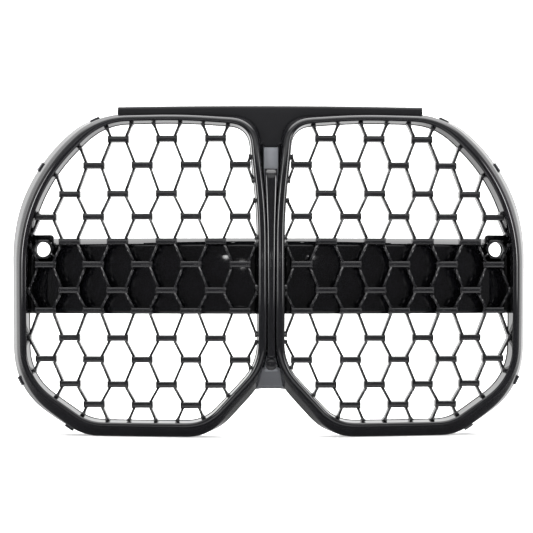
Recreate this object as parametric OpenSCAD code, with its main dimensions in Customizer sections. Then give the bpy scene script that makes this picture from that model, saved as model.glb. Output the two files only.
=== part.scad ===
// Front grille assembly of a car: two framed honeycomb openings joined by a centre spine.
// Millimetres.  Front looks towards -Y, +X is to the right seen from the front, +Z is up.
// Origin: middle of the width, middle of the depth, lowest edge at Z = 0.

/* [Overall] */
// radius of the shallow dome that the whole front lies on
dome_r = 1100; // [900:10:1600]
// lowest edge below the middle height of the openings
low_z = 235; // [220:1:250]
// total depth from the nose to the rearmost face
total_depth = 125.5; // [110:1:140]

/* [Surround] */
// depth of the outer flange behind the front face
flange_depth = 45; // [30:1:60]
// depth of the inner wall behind the front face
inner_wall_depth = 38; // [20:1:42]
// wall thickness of the surround
surround_wall = 2.4; // [1.8:0.1:4]
// lean of the inner wall towards the opening
inner_draft = 1.2; // [0:0.1:3]

/* [Mesh] */
// length of one slat
slat_len = 28; // [20:0.5:34]
// height of one slat
slat_h = 8; // [5:0.5:12]
// thickness of the slanted ribs
rib_t = 3; // [2:0.1:5]
// sideways step between neighbouring slat columns
slat_step = 34.6; // [30:0.1:40]
// middle of the first slat column
slat_first = 43.2; // [38:0.1:50]
// depth of the slat fronts behind the face
slat_front = 18; // [8:1:24]
// depth of the slat backs behind the face
slat_back = 41; // [30:1:44]

/* [Band] */
// top edge of the band behind the mesh
band_top = 46.4; // [30:0.2:60]
// bottom edge of the band behind the mesh
band_low = -61; // [-80:1:-40]
// thickness of the band
band_t = 2.6; // [2:0.1:5]

/* [Sensor holders] */
// radius of the sensor hole
sensor_r = 10.2; // [8:0.1:13]
// sideways place of the sensor hole
sensor_x = 324; // [310:1:330]
// height of the sensor hole
sensor_z = 30.5; // [20:0.5:40]

/* [Top cover] */
// half length of the top cover
cover_half = 217; // [180:1:240]
// top face of the top cover
cover_top = 233.4; // [228:0.2:240]
// thickness of the top cover
cover_t = 3; // [2:0.1:5]
// hole radius in the top shelf
shelf_hole_r = 3.3; // [2:0.1:5]
// sideways place of the inner shelf holes
shelf_inner_x = 60; // [40:1:90]
// sideways place of the outer shelf holes
shelf_outer_x = 180; // [120:1:200]

/* [Fasteners] */
// shank radius of the self-tapping screws
screw_r = 1.9; // [1.2:0.1:3]
// head radius of the self-tapping screws
screw_head_r = 4; // [3:0.1:6]
// width of an edge clip
clip_w = 14; // [8:1:20]

/* [Hidden] */
slack = 0.3;
turn = 360;
knee_d = 12;
screw_head_h = 2.4;
boss_r = 3;
boss_inset = 4;
// screw places, as steps along the outline
mesh_steps = [6, 15, 25, 34, 41, 49, 90];
spine_steps = [65, 72];
bridge_step = 56;
long_steps = concat(spine_steps, [bridge_step]);
boss_steps = concat(mesh_steps, long_steps);
clip_steps = [4, 12, 31, 37];
rib_inset = 2.6;
rib_half = rib_t / 2;
rim_d = 38.4;
ear_d = 43;
strap_d = 47.5;
strap_back = 50;
ear_r = 3.4;
pass_r = 2.3;
band_d = 41.6;
lip_back = 49;
holder_flange_d = 44.6;
holder_back = 47.2;
collar_r = 15.5;
tube_r = 13;
holder_screw_z = 9;
holder_screws_x = [312, 329];
band_screws_at = [[112.4, 9], [250.8, 9], [77.8, -27.5], [216.2, -27.5]];
cover_d = 14;
base_d = 12;
trim_d = 1.5;
blank_z = -131;
cover_screw_x = [110, 190];
cover_screw_d = 30;
flange_top = 222.9;
clip_t = 1;
pillar_r = 6.5;
sink = 2.6;
shelf_hole_y = 90;
nut_z = 217.1;
arc_step = 7;
straight_step = 26;
crease_d = 2.6;
rise_d = 0.7;
// heights of the slat rows, top to bottom; the two at each end only carry the rib ends
row_z = [262, 224, 187, 149.5, 109, 76.5, 41.5, 9, -27.5, -56.5, -95, -125.5, -161, -190, -225, -256];
// corner points of the face outline with the rounding radius of each
outline = [[246, 218.9, 100], [356.6, 113.3, 240], [356.4, -157, 90], [261, -222.5, 70],
           [88, -222.5, 65], [6.9, -134.6, 83], [6.9, 80, 800], [21, 212.5, 38], [125, 219.6, 900]];
// face width, flange flare and place of the flange knee against the outward direction
face_by_dir = [[0, 10], [45, 12], [75, 9], [90, 7.7], [180, 8.7],
               [225, 9.5], [270, 8.2], [315, 9.2], [turn, 10]];
flare_by_dir = [[0, 14.2], [20, 17.6], [45, 15.4], [65, 9.5], [90, 3],
                [110, 5], [135, 8], [160, 8], [175, 2.5],
                [180, 2], [200, 5], [227, 12.5], [262, 12.5], [278, 12.5], [290, 15.5], [305, 20],
                [318, 18.5], [335, 16.8], [350, 14.5], [turn, 14.2]];
knee_by_dir = [[0, 0.36], [70, 0.36], [90, 0.9], [165, 0.9], [178, 0.36], [225, 0.36],
               [255, 1], [285, 1], [320, 0.36], [turn, 0.36]];

function unit(v) = v / norm(v);
function heading(n) = (atan2(n[1], n[0]) + turn) % turn;
function xz(p) = [p[0], p[1]];
// distance back from the nose of a point at depth d under the dome
function back(p, d) = dome_r - sqrt((dome_r - d) * (dome_r - d) - p[0] * p[0] - p[1] * p[1]);

// rounded corner: points on the arc of radius r that touches both sides of corner b
function corner(a, b, c, r) =
    let (u = unit(b - a), v = unit(c - b), bend = acos(max(-1, min(1, u * v))),
         reach = r * tan(bend / 2), mid = b - u * reach + r * [u[1], -u[0]],
         steps = max(2, ceil(bend / arc_step)))
    [for (i = [0:steps]) let (w = 90 - bend * i / steps)
        mid + r * [u[0] * cos(w) - u[1] * sin(w), u[1] * cos(w) + u[0] * sin(w)]];

function rounded(pts) = let (n = len(pts)) [for (i = [0:n - 1])
    each corner(xz(pts[(i + n - 1) % n]), xz(pts[i]), xz(pts[(i + 1) % n]), pts[i][2])];

// straight stretches are split so that they follow the dome
function split(pts) = let (n = len(pts)) [for (i = [0:n - 1])
    let (a = pts[i], b = pts[(i + 1) % n], cuts = max(1, ceil(norm(b - a) / straight_step)))
    each [for (j = [0:cuts - 1]) a + (b - a) * j / cuts]];

path = split(rounded(outline));
stations = len(path);
normals = [for (i = [0:stations - 1])
    let (t = unit(path[(i + 1) % stations] - path[(i + stations - 1) % stations])) [-t[1], t[0]]];
face_w = [for (n = normals) lookup(heading(n), face_by_dir)];
flare = [for (n = normals) lookup(heading(n), flare_by_dir)];
knee = [for (n = normals) lookup(heading(n), knee_by_dir)];

// the outline moved inwards from the opening edge of the face by extra
function opening(extra) = [for (i = [0:stations - 1]) path[i] - normals[i] * (face_w[i] + extra)];

// everything is drawn around the nose, then set on the origin
module place() {
    translate([0, -total_depth / 2, low_z]) children();
}

// a flat outline in the XZ plane made into a bar from y0 back to y1
module bar(y0, y1) {
    translate([0, y1, 0]) rotate([90, 0, 0]) linear_extrude(y1 - y0) children();
}

// the layer between two depths under the dome
module layer(d0, d1) {
    translate([0, dome_r, 0]) difference() {
        sphere(dome_r - d0, $fn = 200);
        sphere(dome_r - d1, $fn = 200);
    }
}

// a flat outline laid into a curved layer
module laid(d0, d1) {
    intersection() {
        bar(-5, back([368, 168], d1) + 2) children();
        layer(d0, d1);
    }
}

// a round bar along Y between two depths
module post(p, d0, d1, r) {
    y0 = back(p, d0);
    translate([p[0], y0, p[1]]) rotate([-90, 0, 0]) cylinder(back(p, d1) - y0, r = r, $fn = 40);
}

// self-tapping screw: seat at Z = 0, shank up, head below
module screw(long) {
    cylinder(long, r = screw_r, $fn = 40);
    difference() {
        translate([0, 0, -screw_head_h]) cylinder(screw_head_h, r = screw_head_r, $fn = 40);
        translate([0, 0, -screw_head_h]) cylinder(screw_head_h / 2, r = screw_head_r / 2, $fn = 6);
    }
}

// ---- surround: one channel section swept around the opening
function section(f, k, w) = [
    [f, flange_depth], [f * k, knee_d], [0, crease_d], [-1.2, rise_d], [-w / 2, 0], [-w + 2.4, rise_d],
    [-w, crease_d], [-w - inner_draft, inner_wall_depth],
    [-w - inner_draft + surround_wall, inner_wall_depth], [-w + surround_wall, crease_d + surround_wall],
    [-surround_wall, crease_d + surround_wall], [f * k - surround_wall, knee_d + surround_wall],
    [f - surround_wall, flange_depth]];

module ring() {
    m = len(section(1, 1, 9));
    points = [for (i = [0:stations - 1]) each [for (s = section(flare[i], knee[i], face_w[i]))
        let (p = path[i] + normals[i] * s[0]) [p[0], back(p, s[1]), p[1]]]];
    faces = [for (i = [0:stations - 1]) each [for (j = [0:m - 1])
        let (a = i * m + j, b = i * m + (j + 1) % m, c = (i + 1) % stations * m + (j + 1) % m,
             d = (i + 1) % stations * m + j) each [[a, c, b], [a, d, c]]]];
    polyhedron(points, faces);
}

function boss_at(i) = path[i] - normals[i] * (face_w[i] - boss_inset);

module surround() {
    difference() {
        union() {
            ring();
            for (i = boss_steps) post(boss_at(i), 4, inner_wall_depth - 1.2, boss_r);
        }
        for (i = boss_steps) post(boss_at(i), 16, inner_wall_depth + 2, screw_r + 0.1);
    }
}

module left_surround() {
    color([0.03, 0.03, 0.035]) mirror([1, 0, 0]) right_surround();
}

module right_surround() {
    color([0.03, 0.03, 0.035]) place() difference() {
        surround();
        for (x = cover_screw_x) translate([x, cover_y(x), flange_top - 10])
            cylinder(20, r = pass_r, $fn = 40);
    }
}

// ---- mesh: a plate with one opening under every slat
function cell(c, i) =
    let (x = slat_first + slat_step * c, near = slat_len / 2 - rib_inset - rib_half,
         tip = slat_step - slat_len / 2, far = tip + rib_inset - rib_half,
         top = row_z[i] - slat_h / 2, up = row_z[i + 1] + slat_h / 2,
         down = row_z[i + 1] - slat_h / 2, low = row_z[i + 2] + slat_h / 2)
    [[x - near, top], [x - far, up], [x - tip, up], [x - tip, down], [x - far, down],
     [x - near, low], [x + near, low], [x + far, down], [x + tip, down], [x + tip, up],
     [x + far, up], [x + near, top]];

module mesh() {
    difference() {
        union() {
            laid(slat_front, slat_back) difference() {
                polygon(opening(inner_draft + 0.4));
                for (i = [0:len(row_z) - 3], c = [-1:10]) if ((c + i + 12) % 2 == 1) polygon(cell(c, i));
            }
            laid(rim_d, slat_back) difference() {
                polygon(opening(-3));
                polygon(opening(3));
            }
            for (i = mesh_steps) post(boss_at(i), rim_d + 0.3, ear_d, ear_r);
            for (i = long_steps) post(boss_at(i), rim_d + 0.3, strap_d - 1.2, ear_r);
        }
        for (i = boss_steps) post(boss_at(i), rim_d - 4, strap_back, pass_r);
        for (p = band_screws_at) post(p, slat_back - 13, slat_back + 2, screw_r + 0.1);
        for (x = holder_screws_x) post([x, holder_screw_z], slat_back - 13, slat_back + 2, screw_r + 0.1);
        post([sensor_x, sensor_z], slat_front - 2, slat_back + 12, collar_r + slack);
    }
}

module left_mesh() {
    color([0.04, 0.04, 0.045]) place() mirror([1, 0, 0]) mesh();
}

module right_mesh() {
    color([0.04, 0.04, 0.045]) place() mesh();
}

// ---- band: curved cover plate behind the mesh, with a returned lip along the top and the bottom
module strip(low, top) {
    intersection() {
        polygon(opening(0.6));
        translate([0, low]) square([400, top - low]);
    }
}

module band() {
    difference() {
        union() {
            laid(band_d, band_d + band_t) strip(band_low, band_top);
            laid(band_d, lip_back) strip(band_top - band_t, band_top);
            laid(band_d, lip_back) strip(band_low, band_low + band_t);
        }
        for (p = band_screws_at) post(p, band_d - 2, lip_back, pass_r);
        for (x = holder_screws_x) post([x, holder_screw_z], band_d - 2, lip_back, pass_r);
        translate([sensor_x - 17, 0, sensor_z - 17]) cube([60, 200, 60]);
    }
}

module left_band() {
    color([0.02, 0.02, 0.025]) place() mirror([1, 0, 0]) band();
}

module right_band() {
    color([0.02, 0.02, 0.025]) place() band();
}

// ---- sensor holder: six-sided collar on a flange, with a round tube behind
module sensor_holder() {
    y_front = back([sensor_x, sensor_z], slat_front + 4);
    y_flange = back([sensor_x, sensor_z], holder_flange_d + 1);
    y_tube = back([sensor_x, sensor_z], 62);
    difference() {
        union() {
            translate([sensor_x, y_front, sensor_z]) rotate([-90, 0, 0])
                cylinder(y_flange - y_front, r = collar_r, $fn = 6);
            translate([sensor_x, y_flange - 1, sensor_z]) rotate([-90, 0, 0])
                cylinder(y_tube - y_flange + 1, r = tube_r, $fn = 60);
            laid(holder_flange_d, holder_back) translate([sensor_x - 16.5, 3]) square([33, 42]);
        }
        translate([sensor_x, 0, sensor_z]) rotate([-90, 0, 0]) cylinder(200, r = sensor_r, $fn = 60);
        for (x = holder_screws_x) post([x, holder_screw_z], holder_flange_d - 2, strap_back, pass_r);
    }
}

module left_sensor_holder() {
    color([0.05, 0.05, 0.05]) place() mirror([1, 0, 0]) sensor_holder();
}

module right_sensor_holder() {
    color([0.05, 0.05, 0.05]) place() sensor_holder();
}

// ---- top cover: T-shaped face that funnels down between the surrounds, with a shelf behind it
function cover_y(x) = back([x, low_z - 15], cover_screw_d);
cover_edge = [for (i = [79:stations - 1]) path[i] + normals[i] * (flare[i] + slack + 0.2)];
cover_right = concat([[9, 173.5]], cover_edge, [[cover_half, cover_edge[len(cover_edge) - 1][1]],
                     [cover_half, cover_top]]);

module top_cover() {
    color([0.07, 0.07, 0.075]) place() difference() {
        union() {
            laid(cover_d, cover_d + cover_t) {
                polygon(concat([[0, cover_top], [0, 173.5]], cover_right));
                mirror([1, 0]) polygon(concat([[0, cover_top], [0, 173.5]], cover_right));
            }
            intersection() {
                translate([-cover_half, 15, cover_top - cover_t]) cube([2 * cover_half, 89, cover_t]);
                translate([0, dome_r, 0]) sphere(dome_r - cover_d, $fn = 200);
            }
            for (side = [-1, 1], x = cover_screw_x) translate([side * x, cover_y(x), flange_top])
                cylinder(cover_top - cover_t - flange_top + 1, r = pillar_r, $fn = 40);
        }
        for (side = [-1, 1], x = cover_screw_x) translate([side * x, cover_y(x), cover_top - sink])
            cylinder(10, r = screw_head_r + 0.4, $fn = 40);
        for (side = [-1, 1], x = cover_screw_x) translate([side * x, cover_y(x), flange_top - 1])
            cylinder(20, r = pass_r, $fn = 40);
        for (side = [-1, 1], x = [shelf_inner_x, shelf_outer_x])
            translate([side * x, shelf_hole_y, cover_top - 10]) cylinder(20, r = shelf_hole_r, $fn = 40);
    }
}

// ---- spine: base bar with a web and a rear strap, and a rounded trim strip in front of it
base_right = [[9, 173], [9, 140], [6.6, 98], [5.6, 50], [5.6, -118], [7, -124], [9, -132], [9, -141]];

// right edge of the wide rear strap that closes the gap between the two surrounds
strap_right = [[17, 184], [12, 100], [12, -112]];

module spine_base() {
    color([0.09, 0.09, 0.1]) place() difference() {
        union() {
            laid(base_d, base_d + 3) polygon(concat(base_right,
                [for (i = [len(base_right) - 1:-1:0]) [-base_right[i][0], base_right[i][1]]]));
            laid(base_d + 1, strap_back) translate([-1.5, -112]) square([3, 262]);
            laid(strap_d, strap_back) {
                polygon(concat(strap_right, [for (i = [len(strap_right) - 1:-1:0])
                    [-strap_right[i][0], strap_right[i][1]]]));
                for (i = spine_steps) translate([-16, boss_at(i)[1] - 9]) square([32, 18]);
            }
        }
        for (side = [-1, 1], i = spine_steps) post([side * boss_at(i)[0], boss_at(i)[1]], strap_d - 2,
                                                   strap_back + 3, pass_r);
        for (z = [120, 20, -90]) post([0, z], base_d - 2, base_d + 14, 2.3);
        post([0, blank_z], base_d - 2, base_d + 5, 5.3);
    }
}

module spine_trim() {
    color([0.02, 0.02, 0.025]) place() {
        intersection() {
            translate([0, dome_r, 0]) rotate([0, 90, 0]) rotate_extrude($fn = 200) translate([0, -7])
                polygon([[dome_r - base_d + slack, 0], [dome_r - trim_d - 3, 0], [dome_r - trim_d - 1.2, 1],
                         [dome_r - trim_d - 0.3, 3.6], [dome_r - trim_d, 7], [dome_r - trim_d - 0.3, 10.4],
                         [dome_r - trim_d - 1.2, 13], [dome_r - trim_d - 3, 14],
                         [dome_r - base_d + slack, 14]]);
            bar(-5, 60) polygon([[-6.4, 143], [6.4, 143], [5.1, 60], [5, -40], [5.4, -122], [-5.4, -122],
                                 [-5, -40], [-5.1, 60]]);
        }
        for (z = [120, 20, -90]) post([0, z], base_d - 2, base_d + 6, 2);
    }
}

module camera_blank() {
    color([0.02, 0.02, 0.025]) place() translate([0, back([0, blank_z], 0), blank_z]) rotate([-90, 0, 0])
        rotate_extrude($fn = 60) polygon([[0, 2.2], [4, 2.4], [6.6, 3.2], [7, 2.2], [8.2, 2.6], [8.2, 10.4],
                                          [5, 10.4], [5, 18], [0, 18]]);
}

module blank_retainer() {
    y0 = back([0, blank_z], base_d + 3) + 1.2;
    color([0.5, 0.5, 0.52]) place() translate([0, y0, blank_z]) rotate([-90, 0, 0]) difference() {
        cylinder(1.2, r = 8, $fn = 60);
        translate([0, 0, -1]) cylinder(4, r = 5.1, $fn = 60);
    }
}

// ---- lower bridge: sloping plate between the surrounds, with a rear strap
bridge_top = -143;
bridge_lean = 37;
bridge_len = 44;

module lower_bridge() {
    b = boss_at(bridge_step);
    color([0.06, 0.06, 0.065]) place() difference() {
        union() {
            translate([0, back([0, bridge_top], 8), bridge_top]) rotate([-bridge_lean, 0, 0])
                linear_extrude(2.6) polygon([[-8.4, 0], [8.4, 0], [13.6, bridge_len], [-13.6, bridge_len]]);
            laid(strap_d, strap_back) polygon([[-10, -150], [10, -150], [b[0] + 6, b[1] + 6],
                [b[0] + 6, b[1] - 6], [12, -167.5], [-12, -167.5], [-b[0] - 6, b[1] - 6],
                [-b[0] - 6, b[1] + 6]]);
            laid(36, strap_back) translate([-10, -167.5]) square([20, 2.6]);
        }
        for (side = [-1, 1]) post([side * b[0], b[1]], strap_d - 2, strap_back + 3, pass_r);
    }
}

// ---- spring clips pushed over the rear edge of the outer flange
module edge_clip(i) {
    p = path[i] + normals[i] * flare[i];
    lean = atan((1 - knee[i]) * flare[i] / (flange_depth - knee_d));
    translate([p[0], back(p, flange_depth), p[1]]) rotate([0, 90 - heading(normals[i]), 0])
      rotate([lean, 0, 0])
    translate([-clip_w / 2, 0, 0]) {
        translate([0, -11, 0.5]) cube([clip_w, 12.5 + clip_t, clip_t]);
        translate([0, -9, -surround_wall - 1 - clip_t]) cube([clip_w, 10.5 + clip_t, clip_t]);
        translate([0, 1.5, -surround_wall - 1 - clip_t])
          cube([clip_w, clip_t, surround_wall + 1.5 + 2 * clip_t]);
        translate([0, -11, 0.5]) cube([clip_w, clip_t, 1.8]);
    }
}

module edge_clips() {
    for (i = clip_steps) edge_clip(i);
}

module left_edge_clips() {
    color([0.35, 0.35, 0.37]) place() mirror([1, 0, 0]) edge_clips();
}

module right_edge_clips() {
    color([0.35, 0.35, 0.37]) place() edge_clips();
}

// ---- fasteners
module screw_in(p, seat_d, long) {
    translate([p[0], back(p, seat_d), p[1]]) rotate([90, 0, 0]) screw(long);
}

module both_sides() {
    children();
    mirror([1, 0, 0]) children();
}

module mesh_screws() {
    color([0.3, 0.3, 0.32]) place() both_sides() for (i = mesh_steps) screw_in(boss_at(i), ear_d, 22);
}

module band_screws() {
    color([0.3, 0.3, 0.32]) place() both_sides()
        for (p = band_screws_at) screw_in(p, band_d + band_t + 1.4, 13);
}

module holder_screws() {
    color([0.3, 0.3, 0.32]) place() both_sides() for (x = holder_screws_x)
        screw_in([x, holder_screw_z], holder_back + 1.7, 15);
}

module spine_screws() {
    color([0.3, 0.3, 0.32]) place() both_sides()
        for (i = spine_steps) screw_in(boss_at(i), strap_back + 0.8, 26);
}

module bridge_screws() {
    color([0.3, 0.3, 0.32]) place() both_sides() screw_in(boss_at(bridge_step), strap_back + 1, 26);
}

module cover_screws() {
    color([0.3, 0.3, 0.32]) place() both_sides() for (x = cover_screw_x)
        translate([x, cover_y(x), cover_top - sink]) mirror([0, 0, 1]) screw(15);
}

module cover_nuts() {
    color([0.35, 0.35, 0.37]) place() both_sides() for (x = cover_screw_x)
        translate([x, cover_y(x), nut_z]) difference() {
            translate([-6, -5, 0]) cube([12, 10, 1.2]);
            translate([0, 0, -1]) cylinder(4, r = screw_r + 0.1, $fn = 40);
        }
}

left_surround();
right_surround();
left_mesh();
right_mesh();
left_band();
right_band();
left_sensor_holder();
right_sensor_holder();
top_cover();
spine_base();
spine_trim();
camera_blank();
blank_retainer();
lower_bridge();
left_edge_clips();
right_edge_clips();
mesh_screws();
band_screws();
holder_screws();
cover_screws();
cover_nuts();
spine_screws();
bridge_screws();
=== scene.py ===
# %% [markdown]
# # A car front grille, in black plastic
# The grille has two framed openings side by side.  Each opening is filled
# with a honeycomb mesh, a dark band crosses behind the mesh, and a narrow
# spine joins the two halves.  The whole front lies on one shallow dome.
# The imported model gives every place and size; this script makes the looks.

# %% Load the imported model
import bpy
import numpy as np
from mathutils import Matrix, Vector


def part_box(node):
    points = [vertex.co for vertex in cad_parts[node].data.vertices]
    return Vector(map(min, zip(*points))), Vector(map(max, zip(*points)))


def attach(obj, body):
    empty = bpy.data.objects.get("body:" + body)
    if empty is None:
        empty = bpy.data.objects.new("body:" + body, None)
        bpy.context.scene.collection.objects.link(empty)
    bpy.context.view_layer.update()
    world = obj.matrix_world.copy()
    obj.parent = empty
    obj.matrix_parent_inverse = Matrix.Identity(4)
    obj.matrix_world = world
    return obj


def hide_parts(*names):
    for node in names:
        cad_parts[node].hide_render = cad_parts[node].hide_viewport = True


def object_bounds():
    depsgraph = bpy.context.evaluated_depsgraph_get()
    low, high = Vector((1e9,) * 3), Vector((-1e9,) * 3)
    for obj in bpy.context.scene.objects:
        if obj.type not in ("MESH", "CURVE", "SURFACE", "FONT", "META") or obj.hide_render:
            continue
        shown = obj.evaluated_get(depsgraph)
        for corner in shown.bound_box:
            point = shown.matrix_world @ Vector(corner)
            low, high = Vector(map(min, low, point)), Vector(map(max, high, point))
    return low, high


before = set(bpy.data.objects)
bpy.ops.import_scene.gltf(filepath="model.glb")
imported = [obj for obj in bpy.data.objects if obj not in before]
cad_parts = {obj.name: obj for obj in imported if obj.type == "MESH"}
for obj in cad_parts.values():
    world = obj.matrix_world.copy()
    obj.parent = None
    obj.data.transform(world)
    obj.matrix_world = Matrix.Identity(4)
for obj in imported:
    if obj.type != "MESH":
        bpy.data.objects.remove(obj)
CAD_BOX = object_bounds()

print("packed nodes:", len(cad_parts), "box", [list(c) for c in CAD_BOX])

# %% [markdown]
# ## One working frame
# Shapes are easiest to write in millimetres around the nose of the dome:
# x to the right, y straight back, z up from the middle height.  One small
# function turns such numbers into the model's own metres, so each piece
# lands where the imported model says.

# %% From the nose frame to the model's frame
LOW = np.array(CAD_BOX[0], float)
NOSE_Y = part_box("spine_trim")[0][1] - 0.0015
MID_Z = LOW[2] + 0.235
DOME = 1100.0


def to_model(p):
    """Millimetres from the nose to metres in the model: scale by 0.001, then add the nose's place."""
    return np.asarray(p, float) * 0.001 + np.array([0.0, NOSE_Y, MID_Z])


def back(x, z, d=0.0):
    """Distance back at depth d under the dome: R - sqrt((R - d)^2 - x^2 - z^2)."""
    return DOME - np.sqrt((DOME - d) ** 2 - x ** 2 - z ** 2)


def lay(x, z, d):
    """Points (x, back(x, z, d), z): a flat outline laid on the dome at depth d."""
    x, z, d = np.broadcast_arrays(x, z, d)
    return np.stack([x, back(x, z, d), z], -1)


print("nose at", round(NOSE_Y, 4), "middle height", round(MID_Z, 4))

# %% [markdown]
# ## From arrays to a mesh
# Most pieces here are a grid of points: rows follow a path, columns follow
# a profile.  A grid can close on itself either way.  Whole arrays go into
# the mesh at once, which is quick even for a large surface.

# %% Grids and meshes
def grid_quads(rows, cols, wrap_rows=False, wrap_cols=False, start=0):
    """Quads between neighbours of a rows by cols grid; a wrap joins the last line to the first."""
    r = np.arange(rows if wrap_rows else rows - 1)[:, None]
    c = np.arange(cols if wrap_cols else cols - 1)[None, :]
    r2, c2 = (r + 1) % rows, (c + 1) % cols
    q = np.stack(np.broadcast_arrays(r * cols + c, r * cols + c2, r2 * cols + c2, r2 * cols + c), -1)
    return q.reshape(-1, 4) + start


def put_mesh(name, points, faces, material, smooth=True):
    """A mesh object at the origin from points in nose millimetres and a list of equal-sided faces."""
    mesh = bpy.data.meshes.new(name)
    points = to_model(points).reshape(-1, 3)
    groups = [np.asarray(f) for f in (faces if isinstance(faces, list) else [faces])]
    loops = np.concatenate([g.reshape(-1) for g in groups]).astype(np.int32)
    sizes = np.concatenate([np.full(len(g), g.shape[1]) for g in groups]).astype(np.int32)
    mesh.vertices.add(len(points))
    mesh.vertices.foreach_set("co", points.reshape(-1))
    mesh.loops.add(len(loops))
    mesh.loops.foreach_set("vertex_index", loops)
    mesh.polygons.add(len(sizes))
    mesh.polygons.foreach_set("loop_start", np.concatenate([[0], np.cumsum(sizes)[:-1]]).astype(np.int32))
    mesh.polygons.foreach_set("use_smooth", np.full(len(sizes), smooth))
    mesh.update(calc_edges=True)
    mesh.validate()
    piece = bpy.data.objects.new(name, mesh)
    bpy.context.scene.collection.objects.link(piece)
    piece.data.materials.append(material)
    return piece


def settle(piece, slot, *nodes):
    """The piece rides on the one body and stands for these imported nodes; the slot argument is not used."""
    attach(piece, "root")
    if nodes:
        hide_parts(*nodes)
    print(f"{piece.name}: {len(piece.data.polygons)} faces for {', '.join(nodes) or 'detail'}")


def outward(piece):
    """Turns every face of a closed shell to look outwards."""
    import bmesh
    b = bmesh.new()
    b.from_mesh(piece.data)
    bmesh.ops.remove_doubles(b, verts=b.verts, dist=1e-7)
    bmesh.ops.recalc_face_normals(b, faces=b.faces)
    b.to_mesh(piece.data)
    b.free()
    piece.data.polygons.foreach_set("use_smooth", np.ones(len(piece.data.polygons), bool))
    return piece


# %% [markdown]
# ## Black plastics
# A moulded gloss black is never one flat number.  The lacquer has a very
# faint orange peel, polishing leaves hair-fine swirls in the roughness, and
# a little dust greys it.  Satin and matte mouldings carry a fine grain.
# Each finish below is the same small net with its own numbers.

# %% A plastic finish
def plastic(name, colour, rough, grain_mm, grain_depth, haze=0.0, shine=0.5):
    """Principled plastic: noise shifts colour and roughness a little, sharp edges are rubbed paler, and
    a grain of the given size bumps it."""
    m = bpy.data.materials.new(name)
    m.use_nodes = True
    nt = m.node_tree
    nt.nodes.clear()
    out = nt.nodes.new("ShaderNodeOutputMaterial")
    skin = nt.nodes.new("ShaderNodeBsdfPrincipled")
    place = nt.nodes.new("ShaderNodeTexCoord")
    cloud = nt.nodes.new("ShaderNodeTexNoise")
    cloud.inputs["Scale"].default_value = 9.0
    cloud.inputs["Detail"].default_value = 5.0
    nt.links.new(place.outputs["Object"], cloud.inputs["Vector"])
    tint = nt.nodes.new("ShaderNodeMix")
    tint.data_type = "RGBA"
    tint.inputs[6].default_value = (*[c * 0.82 for c in colour], 1)
    tint.inputs[7].default_value = (*[c * 1.18 + haze * 0.01 for c in colour], 1)
    nt.links.new(cloud.outputs["Fac"], tint.inputs[0])
    shape = nt.nodes.new("ShaderNodeNewGeometry")
    rub = nt.nodes.new("ShaderNodeMapRange")
    rub.inputs["From Min"].default_value = 0.54
    rub.inputs["From Max"].default_value = 0.72
    rub.inputs["To Max"].default_value = 0.5
    nt.links.new(shape.outputs["Pointiness"], rub.inputs["Value"])
    worn = nt.nodes.new("ShaderNodeMix")
    worn.data_type = "RGBA"
    worn.inputs[7].default_value = (*[c * 1.6 + 0.012 for c in colour], 1)
    nt.links.new(rub.outputs["Result"], worn.inputs[0])
    nt.links.new(tint.outputs[2], worn.inputs[6])
    nt.links.new(worn.outputs[2], skin.inputs["Base Color"])
    swirl = nt.nodes.new("ShaderNodeTexNoise")
    swirl.inputs["Scale"].default_value = 60.0
    swirl.inputs["Detail"].default_value = 8.0
    swirl.inputs["Distortion"].default_value = 1.2
    nt.links.new(place.outputs["Object"], swirl.inputs["Vector"])
    spread = nt.nodes.new("ShaderNodeMapRange")
    spread.inputs["To Min"].default_value = max(rough * 0.75, 0.02)
    spread.inputs["To Max"].default_value = rough * 1.3 + haze * 0.05
    nt.links.new(swirl.outputs["Fac"], spread.inputs["Value"])
    nt.links.new(spread.outputs["Result"], skin.inputs["Roughness"])
    skin.inputs["Specular IOR Level"].default_value = shine
    grain = nt.nodes.new("ShaderNodeTexNoise")
    grain.inputs["Scale"].default_value = 1000.0 / grain_mm
    grain.inputs["Detail"].default_value = 2.0
    nt.links.new(place.outputs["Object"], grain.inputs["Vector"])
    bump = nt.nodes.new("ShaderNodeBump")
    bump.inputs["Strength"].default_value = grain_depth
    bump.inputs["Distance"].default_value = 0.0001
    nt.links.new(grain.outputs["Fac"], bump.inputs["Height"])
    nt.links.new(bump.outputs["Normal"], skin.inputs["Normal"])
    nt.links.new(skin.outputs["BSDF"], out.inputs["Surface"])
    return m


PIANO_BLACK = plastic("piano_black", (0.006, 0.006, 0.007), 0.05, 2.5, 0.05)
MESH_BLACK = plastic("mesh_black", (0.008, 0.008, 0.009), 0.10, 1.6, 0.12)
BAND_BLACK = plastic("band_black", (0.004, 0.004, 0.005), 0.04, 3.0, 0.04)
SATIN_BLACK = plastic("satin_black", (0.007, 0.007, 0.008), 0.3, 0.35, 0.3, haze=0.1, shine=0.1)
# spine_grey is the spine base's own dark grey painted about twice as light: part real grey, part painted
# reflection of the light the base catches
SPINE_GREY_AND_PAINTED_REFLECTION = plastic("spine_grey", (0.125, 0.13, 0.142), 0.36, 0.4, 0.3, haze=0.3)
MATTE_BLACK = plastic("matte_black", (0.012, 0.012, 0.013), 0.42, 0.3, 0.5, haze=0.5)
print("plastics:", PIANO_BLACK.name, MESH_BLACK.name, BAND_BLACK.name, SATIN_BLACK.name)


# %% [markdown]
# ## Screws and spring clips
# Plated steel shows a brushed streak and a patchy dark oxide.  The streaks
# come from noise that is stretched along one direction.

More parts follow.
